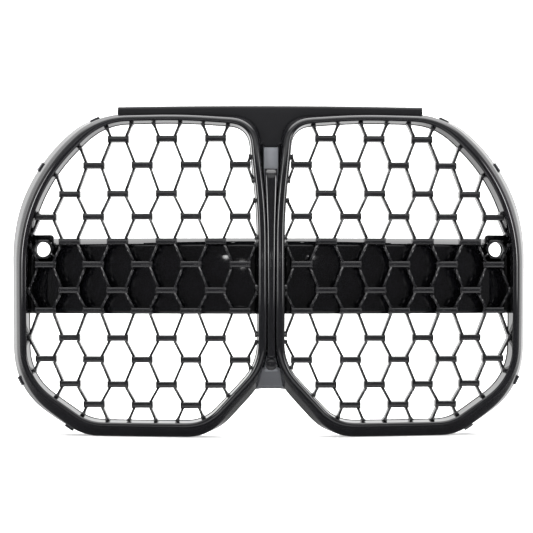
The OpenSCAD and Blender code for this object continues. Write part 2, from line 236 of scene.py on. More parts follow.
# %% Plated steel
def plated_steel(name, colour, rough):
    """Metal with stretched noise in the roughness and a cloudy tint in the plating."""
    m = bpy.data.materials.new(name)
    m.use_nodes = True
    nt = m.node_tree
    skin = nt.nodes["Principled BSDF"]
    skin.inputs["Metallic"].default_value = 1.0
    place = nt.nodes.new("ShaderNodeTexCoord")
    stretch = nt.nodes.new("ShaderNodeMapping")
    stretch.inputs["Scale"].default_value = (1.0, 14.0, 1.0)
    streak = nt.nodes.new("ShaderNodeTexNoise")
    streak.inputs["Scale"].default_value = 220.0
    streak.inputs["Detail"].default_value = 6.0
    spread = nt.nodes.new("ShaderNodeMapRange")
    spread.inputs["To Min"].default_value = rough * 0.7
    spread.inputs["To Max"].default_value = rough * 1.4
    cloud = nt.nodes.new("ShaderNodeTexNoise")
    cloud.inputs["Scale"].default_value = 90.0
    ramp = nt.nodes.new("ShaderNodeMix")
    ramp.data_type = "RGBA"
    ramp.inputs[6].default_value = (*[c * 0.6 for c in colour], 1)
    ramp.inputs[7].default_value = (*colour, 1)
    for a, b in ((place.outputs["Object"], stretch.inputs["Vector"]),
                 (stretch.outputs["Vector"], streak.inputs["Vector"]),
                 (streak.outputs["Fac"], spread.inputs["Value"]),
                 (spread.outputs["Result"], skin.inputs["Roughness"]),
                 (place.outputs["Object"], cloud.inputs["Vector"]),
                 (cloud.outputs["Fac"], ramp.inputs[0]),
                 (ramp.outputs[2], skin.inputs["Base Color"])):
        nt.links.new(a, b)
    return m


SPRING_STEEL = plated_steel("spring_steel", (0.24, 0.24, 0.26), 0.34)
SCREW_STEEL = plated_steel("screw_steel", (0.3, 0.3, 0.33), 0.28)

# %% [markdown]
# ## The outline of an opening
# The frame around each opening is a polygon with nine corners, and each
# corner is rounded with its own radius.  A rounded corner is an arc that
# touches both sides.  The points are then spaced evenly and smoothed a
# little, so that reflections flow round the bends without a kink.

# %% The rounded outline
CORNERS = np.array([[246, 218.9, 100], [356.6, 113.3, 240], [356.4, -157, 90], [261, -222.5, 70],
                    [88, -222.5, 65], [6.9, -134.6, 83], [6.9, 80, 800], [21, 212.5, 38], [125, 219.6, 900]])
STATIONS = 520


def rounded_outline(corners, per_arc=40):
    """Arc at each corner: centre = tangent point + r times the inward normal; points turn evenly from
    one side to the next."""
    b, r = corners[:, :2], corners[:, 2:3]
    u = b - np.roll(b, 1, 0)
    v = np.roll(b, -1, 0) - b
    u = u / np.linalg.norm(u, axis=1, keepdims=True)
    v = v / np.linalg.norm(v, axis=1, keepdims=True)
    bend = np.arccos(np.clip((u * v).sum(1), -1, 1))[:, None]
    inward = np.stack([u[:, 1], -u[:, 0]], 1)
    centre = b - u * r * np.tan(bend / 2) + r * inward
    w = bend * np.linspace(0, 1, per_arc)[None, :]
    spoke = u[:, None] * np.sin(w)[..., None] - inward[:, None] * np.cos(w)[..., None]
    arc = centre[:, None] + r[:, None] * spoke
    return arc.reshape(-1, 2)


def even_closed(p, n):
    """n points at equal steps of length along a closed polygon."""
    q = np.vstack([p, p[:1]])
    s = np.concatenate([[0], np.cumsum(np.linalg.norm(np.diff(q, axis=0), axis=1))])
    t = np.linspace(0, s[-1], n, endpoint=False)
    return np.stack([np.interp(t, s, q[:, 0]), np.interp(t, s, q[:, 1])], 1), s[-1]


def soften(a, width):
    """Closed running mean with a bell-shaped weight of the given width in steps."""
    k = np.arange(-3 * int(width) - 1, 3 * int(width) + 2)
    w = np.exp(-0.5 * (k / width) ** 2)
    w /= w.sum()
    return sum(wi * np.roll(a, -ki, axis=0) for ki, wi in zip(k, w))


PATH, PERIMETER = even_closed(rounded_outline(CORNERS), STATIONS)
PATH = soften(PATH, 2.0)
along = np.roll(PATH, -1, 0) - np.roll(PATH, 1, 0)
along /= np.linalg.norm(along, axis=1, keepdims=True)
OUT = np.stack([-along[:, 1], along[:, 0]], 1)
HEADING = np.degrees(np.arctan2(OUT[:, 1], OUT[:, 0])) % 360
print("outline length", round(PERIMETER, 1), "mm in", STATIONS, "steps")

# %% [markdown]
# ## How the frame changes round the opening
# Seen from outside, the flange behind the face flares more at the sides
# and below than along the spine.  Three short tables give face width,
# flare and the place of the flange's knee against the outward direction.

# %% Widths and flares by direction
def by_direction(pairs, width=6.0):
    """Straight steps between a few (degrees, value) pairs, then softened along the outline."""
    a, v = np.array(pairs, float).T
    return soften(np.interp(HEADING, a, v), width)


FACE = by_direction([[0, 10], [45, 12], [75, 9], [90, 7.7], [180, 11.2], [225, 9.5], [270, 8.2], [315, 9.2],
                     [360, 10]])
FLARE = by_direction([[0, 14.2], [20, 17.6], [45, 15.4], [65, 9.5], [90, 3], [110, 5], [135, 8], [160, 8],
                      [175, 2.5], [180, 2], [200, 5], [214, 12], [227, 15], [240, 13.4], [278, 12.5],
                      [290, 15.5], [305, 20], [318, 18.5], [335, 16.8], [350, 14.5], [360, 14.2]])
KNEE = by_direction([[0, 0.36], [70, 0.36], [90, 0.9], [165, 0.9], [178, 0.36], [225, 0.36], [255, 1],
                     [285, 1], [320, 0.36], [360, 0.36]])
FLANGE_D, WALL_D, CREASE_D, KNEE_D, DRAFT, SHELL = 45.0, 38.0, 2.6, 12.0, 1.2, 2.4


def offset(n, d, pick=slice(None)):
    """Outline moved out by n (in by -n) and laid at depth d."""
    n, d = np.atleast_2d(n), np.atleast_2d(d)
    p = PATH[pick, None] + OUT[pick, None] * n[..., None]
    return lay(p[..., 0], p[..., 1], d)


print("face", FACE.min().round(1), "to", FACE.max().round(1), "mm")
print("flare", FLARE.min().round(1), "to", FLARE.max().round(1), "mm")

# %% [markdown]
# ## The two surrounds
# One closed channel profile is carried round the outline: outer flange, a
# crisp crease, a crowned face, a rounded inner edge, the inner wall, then
# back along the hidden side.  Because the profile's numbers change with
# direction, the result is one flowing moulding.

# %% Sweep the surround
def flank(d):
    """Outward reach of the flange at depth d: two straight stretches that meet at a knee, rounded over 5
    mm."""
    def straight(e):
        low = FLARE[:, None] * KNEE[:, None] * np.clip((e - CREASE_D) / (KNEE_D - CREASE_D), 0, 1)
        high = FLARE[:, None] * (1 - KNEE[:, None]) * np.clip((e - KNEE_D) / (FLANGE_D - KNEE_D), 0, 1)
        return low + high
    reach = 2.5 * np.clip((d - CREASE_D) / 4, 0, 1) * np.clip((FLANGE_D - d) / 4, 0, 1)
    return (straight(d - reach) + straight(d) + straight(d + reach)) / 3


def surround_profile():
    """Columns of (out, depth): flange, crease, crown d = 2.35 |2u - 1|^2.4, inner edge, wall, and the
    hollow back."""
    one = np.ones((STATIONS, 1))
    w = FACE[:, None]
    d_flange = np.concatenate([[44.6, 43.6], np.linspace(41, 5, 15), [3.6, 3.0, 2.65]])[None, :]
    cols = [(FLARE[:, None] - 1.2, FLANGE_D * one), (FLARE[:, None] - 0.35, (FLANGE_D - 0.05) * one)]
    cols.append((flank(d_flange), d_flange * one))
    u = np.array([[0.02, 0.05, 0.09, 0.15, 0.23, 0.33, 0.43, 0.53, 0.63, 0.72, 0.79, 0.85, 0.9, 0.94]])
    cols.append((-w * u, 2.35 * np.abs(2 * u - 1) ** 2.4 * one))
    cols.append((-w + np.array([[0.35, 0.12, 0.02]]), np.array([[1.9, 2.5, 3.2]]) * one))
    d_wall = np.array([[4.2, 8, 16, 26, 34, 37.2]])
    cols.append((-w - DRAFT * (d_wall - CREASE_D) / (WALL_D - CREASE_D), d_wall * one))
    cols.append((-w - DRAFT + np.array([[0.25, 0.9, 1.6, 2.2]]), np.array([[37.8, 38, 37.9, 37.2]]) * one))
    cols.append((-w - DRAFT * 0.2 + SHELL, 8.0 * one))
    cols.append((-w + SHELL + 0.3, (CREASE_D + SHELL) * one))
    cols.append((-SHELL * one - 0.3, (CREASE_D + SHELL) * one))
    d_in = np.array([[8.0, 14, 22, 32, 40, 44.4]])
    cols.append((flank(d_in) - SHELL, d_in * one))
    outs, depths = zip(*(np.broadcast_arrays(*c) for c in cols))
    return np.concatenate(outs, 1), np.concatenate(depths, 1)


reach, depth = surround_profile()
ring = offset(reach, depth)


def pair(name, points, faces, material, slot):
    """Right-hand piece and its mirror: x changes sign and the faces turn round."""
    made = []
    for side, sign in (("right", 1.0), ("left", -1.0)):
        turned = points.reshape(-1, 3) * np.array([sign, 1, 1])
        piece = put_mesh(f"{side}_{name}_skin", turned, faces, material)
        outward(piece)
        settle(piece, slot, f"{side}_{name}")
        made.append(piece)
    return made


pair("surround", ring, grid_quads(*ring.shape[:2], True, True), PIANO_BLACK, "gloss_black")

# %% [markdown]
# ## Where the mesh bars go
# The mesh is sixteen rows of short bars.  Every other row is shifted by one
# column, so six neighbouring bars stand round each opening, and thin ribs
# join the bars corner to corner.  A bar or rib is kept only where it lies
# inside the frame, so the pattern is worked out with an inside test.

# %% Bar and rib places
ROWS = np.array([262, 224, 187, 149.5, 109, 76.5, 41.5, 9,
                 -27.5, -56.5, -95, -125.5, -161, -190, -225, -256])
BAR_LEN, BAR_H, STEP, FIRST, RIB_IN = 28.0, 8.0, 34.6, 43.2, 2.6
WALL = PATH - OUT * (FACE + DRAFT + 0.3)[:, None]


def inside(p, loop):
    """Even-odd test: count how many sides of the loop a ray to the right from each point crosses."""
    a, b = loop, np.roll(loop, -1, 0)
    x, z = p[..., 0:1], p[..., 1:2]
    straddle = (a[:, 1] > z) != (b[:, 1] > z)
    climb = np.where(b[:, 1] == a[:, 1], 1e-9, b[:, 1] - a[:, 1])
    crossing = a[:, 0] + (z - a[:, 1]) * (b[:, 0] - a[:, 0]) / climb
    return (straddle & (x < crossing)).sum(-1) % 2 == 1


def kept_span(a, b, loop, steps=241):
    """First and last point of each segment a to b that lies inside the loop, and whether any does."""
    t = np.linspace(0, 1, steps)
    p = a[:, None] + (b - a)[:, None] * t[None, :, None]
    ok = inside(p, loop)
    lo, hi = t[ok.argmax(1)], t[steps - 1 - ok[:, ::-1].argmax(1)]
    return a + (b - a) * lo[:, None], a + (b - a) * hi[:, None], ok.any(1)


rows, cols = np.meshgrid(np.arange(len(ROWS)), np.arange(-1, 11), indexing="ij")
grid = ((rows + cols) % 2 == 1)
rows, cols = rows[grid], cols[grid]
mid = np.stack([FIRST + STEP * cols, ROWS[rows]], 1)
half = np.array([BAR_LEN / 2, 0])
bar_a, bar_b, seen = kept_span(mid - half, mid + half, WALL)
real = seen & (np.linalg.norm(bar_b - bar_a, axis=1) > 9)
print("bars in each mesh:", int(real.sum()))

# %% Ribs between the bars
def rib_lines():
    """Lines from each real bar's corners to the facing corners of its four diagonal neighbours; past a
    missing neighbour the line runs on until it meets the frame."""
    a, b, free = [], [], []
    have = {(r, c) for r, c, k in zip(rows, cols, real) if k}
    for r, c in sorted(have):
        for dr, dc in ((-1, -1), (-1, 1), (1, -1), (1, 1)):
            other = (r + dr, c + dc)
            if other in have and dr < 0:
                continue
            x, z, zo = FIRST + STEP * c, ROWS[r], ROWS[r + dr]
            reach = BAR_LEN / 2 - RIB_IN
            start = np.array([x + dc * reach, z - dr * BAR_H / 2])
            end = np.array([x + dc * (STEP - reach), zo + dr * BAR_H / 2])
            a.append(start)
            b.append(end if other in have else start + (end - start) * 2.2)
            free.append(other not in have)
    return np.array(a), np.array(b), np.array(free)


rib_a, rib_b, free = rib_lines()
rib_a, rib_b, seen = kept_span(rib_a, rib_b, WALL)
seen &= np.linalg.norm(rib_b - rib_a, axis=1) > 2
rib_a, rib_b, free = rib_a[seen], rib_b[seen], free[seen]
print("ribs in each mesh:", len(rib_a), "of which", int(free.sum()), "end on the frame")

# %% [markdown]
# ## Bars, ribs and feet
# A bar is a short box with small chamfers whose front is tipped a few
# degrees: upwards in some upper rows and downwards in the lowest, which is
# why some rows catch the light.  A rib is a thin deep wall with a rounded
# front.  Where a rib meets the frame it stands on a wedge-shaped foot.

# %% Bars as chamfered boxes
TIP = np.array([10, 10, 10, 2.5, 10.5, 2.5, 11, 0.5, 0, 0, -0.5, -1, -9.5, -9.5, -9, -9.0])
FRONT_D, BACK_D = 18.0, 41.0


def bars_mesh():
    """Each bar in five rings from front to back, and each ring twelve points round: the height is a
    little more in the last 2 mm at both ends, the corners are cut, and the front rings are drawn in and
    leaned by the row's angle."""
    a, b, r = bar_a[real], bar_b[real], rows[real]
    c, h = (a + b) / 2, (b - a)[:, 0] / 2 + 0.9
    side = np.array([1, 1, 1, 1, 1, 1, -1, -1, -1, -1, -1, -1.0])
    from_end = np.array([2.2, 1.7, 0, 0, 1.7, 2.2, 2.2, 1.7, 0, 0, 1.7, 2.2])
    tall = np.array([-4.1, -4.5, -4.5, 4.5, 4.5, 4.1, 4.1, 4.5, 4.5, -4.5, -4.5, -4.1])
    shrink = np.array([0.5, 0.15, 0.0, 0.0, 0.0])
    deep = np.array([0.0, 0.2, 0.8, 4.0, 23.0])
    x = c[:, 0, None, None] + side * (h[:, None, None] - from_end - shrink[:, None])
    z = c[:, 1, None, None] + np.sign(tall) * (np.abs(tall) - shrink[:, None])
    z, x = np.broadcast_arrays(z, x)
    lean = np.tan(np.radians(TIP[r]))[:, None, None] * (z - c[:, 1, None, None])
    fade = np.clip(1 - deep[:, None] / 4.0, 0, 1)
    y = back(c[:, 0], c[:, 1], FRONT_D)[:, None, None] + deep[:, None] + lean * fade
    y = np.broadcast_to(y, x.shape).copy()
    y[:, -1] = back(x[:, -1], z[:, -1], BACK_D)
    pts = np.stack([x, y, z], -1)
    n = len(c)
    base = (np.arange(n) * 60)[:, None, None]
    skin = (grid_quads(5, 12, False, True)[None] + base).reshape(-1, 4)
    front = (np.arange(12)[None, None, ::-1] + base).reshape(-1, 12)
    rear = (np.arange(48, 60)[None, None] + base).reshape(-1, 12)
    return pts.reshape(-1, 3), [skin, front, rear]


bars, bar_faces = bars_mesh()
print("bars:", len(bars), "points")


# %% Ribs and feet as swept walls
def wall_pieces(a, b, wide_a, wide_b, deep_a, deep_b, end_d):
    """Walls from a to b: at each end an eight-point section (flat front, two chamfers, flat back) with
    its own width and front depth."""
    run = b - a
    run = run / np.linalg.norm(run, axis=1, keepdims=True)
    side = np.stack([-run[:, 1], run[:, 0]], 1)
    cut = np.array([0, 0, 0, 0.3, 0.75, 0.75, 0.3, 0])
    s = np.array([1, -1, -1, -1, -1, 1, 1, 1.0])
    f = np.array([1, 1, 0.05, 0.012, 0, 0, 0.012, 0.05])
    ends = []
    for p, w, d0 in ((a, wide_a, deep_a), (b, wide_b, deep_b)):
        xz = p[:, None] + side[:, None] * (s * (w / 2 - cut))[None, :, None]
        ends.append(lay(xz[..., 0], xz[..., 1], d0 + f * (end_d - d0)))
    pts = np.stack(ends, 1)
    n, k = len(a), len(s)
    base = (np.arange(n) * 2 * k)[:, None, None]
    skin = (grid_quads(2, k, False, True)[None] + base).reshape(-1, 4)
    start_cap = (np.arange(k)[None, None] + base).reshape(-1, k)
    end_cap = (np.arange(k, 2 * k)[None, None, ::-1] + base).reshape(-1, k)
    return pts.reshape(-1, 3), [skin, start_cap, end_cap]


RIB_W, RIB_FRONT, RIB_BACK = 3.5, 19.0, 40.5
ribs, rib_faces = wall_pieces(rib_a, rib_b, RIB_W, RIB_W, RIB_FRONT, RIB_FRONT, RIB_BACK)
run = rib_b[free] - rib_a[free]
run /= np.linalg.norm(run, axis=1, keepdims=True)
foot_b = rib_b[free] + run * 0.6
feet, feet_faces = wall_pieces(foot_b - run * 6.5, foot_b, 3.4, 6.4, 18.5, 12.0, 38.0)


def rim_loop():
    """The mesh's thin rear rim: a flat strip that closes behind the inner wall."""
    n = np.array([[3.0, 3.0, -1.5, -1.9, -1.9]]) - FACE[:, None]
    d = np.array([[41.0, 38.5, 38.5, 38.9, 41.0]]) * np.ones((STATIONS, 1))
    return offset(n, d)


rim = rim_loop()
rim_faces = grid_quads(*rim.shape[:2], True, True)


def joined(parts):
    """One set of points and faces from several: each part's faces are shifted past the points before it."""
    pts, faces, start = [], [], 0
    for p, fs in parts:
        p = p.reshape(-1, 3)
        pts.append(p)
        faces += [f + start for f in (fs if isinstance(fs, list) else [fs])]
        start += len(p)
    return np.concatenate(pts), faces


mesh_points, mesh_faces = joined([(bars, bar_faces), (ribs, rib_faces), (feet, feet_faces), (rim, rim_faces)])
pair("mesh", mesh_points, mesh_faces, MESH_BLACK, "mesh_black")

# %% [markdown]
# ## The bands behind the mesh
# Each band is a curved cover plate.  Its top edge leans back in a wide
# chamfer that catches the sky, its face is plain gloss black, and its
# lower edge turns back in a small lip.

# %% Sweep a band
BAND_D, BAND_T = 41.6, 2.6


def capped(sheet):
    """Faces of a grid that closes across its columns, with one many-sided face on its first and on its
    last row."""
    k = sheet.shape[1]
    first = np.arange(k)[None, :]
    return [grid_quads(*sheet.shape[:2], False, True), first, first[:, ::-1] + (len(sheet) - 1) * k]


def side_of(loop, keep):
    """A side of the opening as (heights, x) ready for interpolation."""
    part = loop[keep & (np.abs(loop[:, 1]) < 90)]
    part = part[np.argsort(part[:, 1])]
    return part[:, 1], part[:, 0]


limit = PATH - OUT * (FACE + 0.9)[:, None]
near_side, far_side = side_of(limit, limit[:, 0] < 60), side_of(limit, limit[:, 0] > 300)


def band_sheet():
    """Profile of (height, depth) carried along x: chamfer, face, lip, and back along the inside; the
    last 10 mm at the outer end turn forward in a quarter bend."""
    inner = BAND_D + BAND_T
    zd = np.array([[46.4, 53.8], [46.4, 53.0], [46.0, 52.1], [37.6, 42.9], [36.8, 42.1], [35.8, 41.7],
                   [34.2, BAND_D], [20, BAND_D], [0, BAND_D], [-20, BAND_D], [-40, BAND_D], [-56, BAND_D],
                   [-59.2, BAND_D], [-60.3, 41.9], [-60.9, 42.6], [-61, 43.6], [-61, 49], [-58.6, 49],
                   [-58.4, inner + 0.2], [-40, inner], [0, inner], [32, inner], [43.2, 53.8]])
    z, d = zd.T
    left, right = np.interp(z, *near_side), np.interp(z, *far_side)
    u = np.concatenate([np.linspace(0, 0.965, 70), np.linspace(0.969, 1, 12)])[:, None]
    x = left * (1 - u) + right * u
    turned = np.clip((x - right + 10) / 10, 0, 1)
    return lay(x, np.broadcast_to(z, x.shape), d - 5.0 * (1 - np.sqrt(1 - 0.96 * turned ** 2)))


band = band_sheet()
bands = pair("band", band, capped(band), BAND_BLACK, "band_black")

# %% [markdown]
# ## Holes by cutting
# A sensor looks out through a hole in the band, and the top shelf has bolt
# holes.  A hole through a curved sheet is easiest to cut with a round
# cutter, and then the cut is made part of the mesh.

# %% Cut round holes
def lathe(centre, axis, profile, turns=48):
    """A closed round piece: each (radius, distance along the axis) of the profile turned about the axis
    'y' or 'z'."""
    t = np.linspace(0, 2 * np.pi, turns, endpoint=False)
    r, a = np.asarray(profile, float).T
    u, v = r[:, None] * np.cos(t), r[:, None] * np.sin(t)
    w = np.broadcast_to(a[:, None], u.shape)
    pts = np.stack([u, w, v] if axis == "y" else [u, v, w], -1) + np.asarray(centre, float)
    first = np.arange(turns)[None]
    return pts, [grid_quads(len(r), turns, False, True), first[:, ::-1], first + (len(r) - 1) * turns]


def cut(piece, cutters):
    """Takes closed cutter shapes, given as (points, faces), out of a piece with an exact Boolean."""
    tool = outward(put_mesh("cutter", *joined(cutters), piece.data.materials[0]))
    step = piece.modifiers.new("cut", "BOOLEAN")
    step.operation, step.solver, step.object = "DIFFERENCE", "EXACT", tool
    ready = bpy.data.meshes.new_from_object(piece.evaluated_get(bpy.context.evaluated_depsgraph_get()))
    piece.modifiers.clear()
    piece.data = ready
    bpy.data.objects.remove(tool)
    print(f"{piece.name}: {len(cutters)} holes cut, {len(ready.polygons)} faces")


SENSOR = np.array([324.0, 30.5])
BAND_HOLE_R = 14.2
for band_piece, sign in zip(bands, (1, -1)):
    cut(band_piece, [lathe((sign * SENSOR[0], 0, SENSOR[1]), "y", [(BAND_HOLE_R, 40), (BAND_HOLE_R, 160)])])

# %% [markdown]
# ## Parking-sensor holders
# A holder is a six-sided collar that narrows to a round tube.  One ring
# of points can blend from a hexagon to a circle, because both are a radius
# for every angle.  Small webs join the collar to the band around it.

# %% Sweep the sensor collars
SENSOR_Y = back(*SENSOR, 22.0)
TURN = np.linspace(0, 2 * np.pi, 96, endpoint=False)


def six_sided(r, soft=0.12):
    """Radius of a hexagon with corners left and right: r cos 30 / cos(angle to the nearest flat), a
    little rounded."""
    to_flat = (TURN + np.pi / 6 + np.pi / 6) % (np.pi / 3) - np.pi / 6
    return (1 - soft) * r * np.cos(np.pi / 6) / np.cos(to_flat) + soft * r * 0.93


def collar():
    """Rings of (radius, y) along the axis: chamfered front, hexagon outside, round tube, and the bore
    back to the front, which opens by 1.9 mm behind its first 7 mm."""
    hexa, bore, tube = six_sided(15.5), 10.4, 13.0
    far = back(*SENSOR, 54.0)
    step = back(*SENSOR, 46.0)
    rings = [(bore + 0.8, 0), (0.45 * hexa + 0.55 * bore, 0), (hexa - 1.6, 0.0), (hexa - 0.9, 0.25),
             (hexa - 0.25, 0.9), (hexa, 1.9), (hexa, step - SENSOR_Y - 0.2), (tube, step - SENSOR_Y),
             (tube, far - SENSOR_Y - 0.8), (tube - 0.8, far - SENSOR_Y), (bore + 2.2, far - SENSOR_Y),
             (bore + 1.9, far - SENSOR_Y - 0.6), (bore + 1.9, 7), (bore + 0.1, 5.5), (bore, 5), (bore, 1.0), (bore + 0.25, 0.3)]
    r = np.stack([np.broadcast_to(a, TURN.shape) for a, _ in rings])
    y = np.array([b for _, b in rings])[:, None] + SENSOR_Y
    return np.stack(np.broadcast_arrays(SENSOR[0] + r * np.cos(TURN), y, SENSOR[1] + r * np.sin(TURN)), -1)


tube = collar()


def plate(loop, d0, d1, edge=0.4):
    """A flat plate laid on the dome between depths d0 and d1, its rim rounded by drawing the outer rings
    in."""
    loop = np.asarray(loop, float)
    t = np.roll(loop, -1, 0) - np.roll(loop, 1, 0)
    t /= np.linalg.norm(t, axis=1, keepdims=True)
    n = np.stack([t[:, 1], -t[:, 0]], 1)
    after = np.roll(loop, -1, 0)
    if (loop[:, 0] * after[:, 1] - loop[:, 1] * after[:, 0]).sum() < 0:
        n = -n
    draw = np.array([edge, edge * 0.3, 0, 0, edge * 0.3, edge])[:, None, None]
    deep = np.array([d0, d0 + edge * 0.3, d0 + edge, d1 - edge, d1 - edge * 0.3, d1])[:, None]
    p = loop - n * draw
    pts = lay(p[..., 0], p[..., 1], np.broadcast_to(deep, p.shape[:2]))
    k = len(loop)
    return pts, [grid_quads(6, k, False, True), np.arange(k)[None, ::-1], np.arange(5 * k, 6 * k)[None]]


def box_loop(x0, x1, z0, z1, r=2.0, per=6):
    """A rectangle with rounded corners: four quarter circles joined by straight sides."""
    a = np.linspace(0, np.pi / 2, per)
    cx = np.array([x1 - r, x0 + r, x0 + r, x1 - r])[:, None]
    cz = np.array([z1 - r, z1 - r, z0 + r, z0 + r])[:, None]
    w = a[None] + np.arange(4)[:, None] * np.pi / 2
    return np.stack([cx + r * np.cos(w), cz + r * np.sin(w)], -1).reshape(-1, 2)


def arc_points(cx, cz, r, a0, a1, n=7):
    """Points on a circle about (cx, cz) from angle a0 to a1 in degrees."""
    a = np.radians(np.linspace(a0, a1, n))
    return np.stack([cx + r * np.cos(a), cz + r * np.sin(a)], 1)


# the tab above the collar: a rounded bar whose inner end turns down in an S beside the hexagon
tab_loop = np.concatenate([[[343.5, 41.2], [343.5, 51.5]],
                           arc_points(314.5, 47.0, 4.5, 90, 180), [[310, 44.5]],
                           arc_points(306.5, 42.5, 3.5, 0, -60, 5),
                           [[304, 36.0], [306.5, 32.5], [313.0, 42.2]]])
# thin webs that tie the collar to the band
web = [plate([[306.6, 20.5], [308.4, 19.4], [314.5, 24.5], [313.0, 26.5]], 24, 44),
       plate([[334.5, 43.5], [336.5, 42.6], [333.2, 38.0], [331.4, 39.2]], 24, 44)]
holder_parts = [(tube, grid_quads(*tube.shape[:2], True, True)), plate(tab_loop, 36.5, 47, 0.9)] + web
holder_points, holder_faces = joined(holder_parts)
pair("sensor_holder", holder_points, holder_faces, MESH_BLACK, "matte_black")
behind = plate(box_loop(SENSOR[0] - 16.5, SENSOR[0] + 16.5, 3, 40), 44.7, 47.2)
for side, sign in (("right", 1), ("left", -1)):
    points = behind[0].reshape(-1, 3) * np.array([sign, 1, 1])
    ears = outward(put_mesh(f"{side}_sensor_flange", points, behind[1], MATTE_BLACK))
    cut(ears, [lathe((sign * SENSOR[0], 0, SENSOR[1]), "y", [(11.5, 40), (11.5, 160)])]
        + [lathe((sign * x, 0, 9), "y", [(2.3, 40), (2.3, 160)]) for x in (312, 329)])
    settle(ears, "matte_black")

# %% [markdown]
# ## The top cover
# The cover is one T-shaped sheet.  Its lower edge follows the tops of both
# surrounds and falls into a narrow funnel over the spine, its upper edge
# rolls back into a flat shelf.  Upright lines between lower and upper edge
# give the whole sheet, because the lower edge never doubles back.

# %% Sweep the top cover
COVER_TOP, COVER_D, SHELF_BACK = 233.4, 14.0, 104.0


def cover_lower_edge():
    """The lower edge from left to right: it follows the surrounds' flanks, with a flat funnel end at
    173.5."""
    run = PATH + OUT * (FLARE * (KNEE + (1 - KNEE) * 0.06) - 0.1)[:, None]
    top = run[(run[:, 1] > 176) & (run[:, 0] < 217) & (run[:, 0] > 8)]
    top = top[np.argsort(top[:, 0])]
    corner = arc_points(7.2, 176.0, 2.5, -75, -10, 5)
    tip = np.concatenate([[[0, 173.5], [4.0, 173.5], [7.0, 173.55]], corner])
    half_edge = np.concatenate([tip, top[top[:, 0] > 10.8], [[217.0, top[-1, 1]]]])
    return np.concatenate([half_edge[:0:-1] * np.array([-1, 1]), half_edge])


edge = cover_lower_edge()
t = np.gradient(edge, axis=0)
t /= np.linalg.norm(t, axis=1, keepdims=True)
up = np.stack([-t[:, 1], t[:, 0]], 1)


def cover_sheet():
    """Columns along the lower edge: lip, front face, rolled top edge, shelf, and the same again inside."""
    x, z0 = edge.T
    lift = np.array([0.2, 0.05, 0.0, 0.0, 0.05, 0.2])
    deep = np.array([17.0, 16.95, 16.8, 14.2, 14.05, 14.0])
    lip = edge[:, None] + up[:, None] * lift[None, :, None]
    lip = lay(lip[..., 0], lip[..., 1], np.broadcast_to(deep, lip.shape[:2]))
    rise = np.linspace(0, 1, 14)[1:]
    z_face = (z0 + 1.6)[:, None] * (1 - rise) + 224.5 * rise
    face = lay(np.broadcast_to(x[:, None], z_face.shape), z_face, COVER_D)
    y_top = back(x, 228.0, COVER_D)[:, None]
    roll_y = np.array([0.05, 0.35, 1.0, 2.0, 3.4, 5.2, 7.5])
    roll_z = np.array([226.5, 228.4, 230.1, 231.5, 232.5, 233.15, 233.4])
    shelf_y = np.linspace(0, 1, 9)[None, 1:]
    ys = np.concatenate([y_top + roll_y, (y_top + 7.5) * (1 - shelf_y) + (SHELF_BACK - 0.5) * shelf_y], 1)
    zs = np.concatenate([roll_z, np.full(8, COVER_TOP)])
    end_y, end_z = np.array([104, 104, 103.5]), np.array([232.9, 230.9, 230.4])
    under_y = (SHELF_BACK - 1.5) * (1 - shelf_y) + (y_top + 9) * shelf_y
    in_y, in_z = y_top + np.array([5.2, 3.6, 3.0]), np.array([229.6, 227.6, 225.0])
    ys = np.concatenate([ys, np.broadcast_to(end_y, (len(x), 3)), under_y, in_y], 1)
    zs = np.concatenate([zs, end_z, np.full(8, 230.4), in_z])
    shelf = np.stack(np.broadcast_arrays(x[:, None], ys, zs), -1)
    z_in = (z0 + 1.4)[:, None] * rise + 224.0 * (1 - rise)
    inner = lay(np.broadcast_to(x[:, None], z_in.shape), z_in, 17.0)
    return np.concatenate([lip, face, shelf, inner], 1)


cover = cover_sheet()
screw_places = [(s * x, back(x, 220.0, 30.0), 0) for s in (-1, 1) for x in (110, 190)]
pillars = [lathe(place, "z", [(5.9, 222.9), (6.5, 223.5), (6.5, 230.6)]) for place in screw_places]
top_cover = outward(put_mesh("top_cover_skin", cover, capped(cover), SATIN_BLACK))
settle(top_cover, "satin_black", "top_cover")
holes = [lathe((s * x, 90, 0), "z", [(3.3, 226), (3.3, 240)]) for s in (-1, 1) for x in (60, 180)]
holes += [lathe(place, "z", [(2.3, 220), (2.3, 230.8), (4.4, 230.8), (4.4, 240)]) for place in screw_places]
cut(top_cover, holes)
cover_pillars = outward(put_mesh("top_cover_pillars", *joined(pillars), SATIN_BLACK))
cut(cover_pillars, [lathe(place, "z", [(2.3, 220), (2.3, 240)]) for place in screw_places])
settle(cover_pillars, "satin_black")

# %% [markdown]
# ## The spine
# Three pieces make the spine: a dark grey base bar, painted lighter as a painted
# reflection, that also closes the gap behind, a narrow gloss strip with a domed
# section and a bull-nosed upper end, and a round plug with a lip where a camera would go.

# %% Spine base, trim strip and plug
def spine_plate(z_w, d0, d1, edge):
    """A plate whose half width follows a few (half width, height) pairs, laid between two depths."""
    w = np.array(z_w, float)
    return plate(np.concatenate([w, (w * np.array([-1, 1]))[::-1]]), d0, d1, edge)


base_edge = [[10.2, 173], [10.2, 140], [7.4, 98], [5.9, 50], [5.6, -118], [7, -124], [9, -132], [9, -141]]


def fine(z_w, step=6.0):
    """The same pairs with extra points so that long stretches follow the dome."""
    w = np.array(z_w, float)
    out = [np.linspace(a, b, max(2, int(np.linalg.norm(b - a) / step)), endpoint=False)
           for a, b in zip(w[:-1], w[1:])]
    return np.concatenate(out + [w[-1:]])


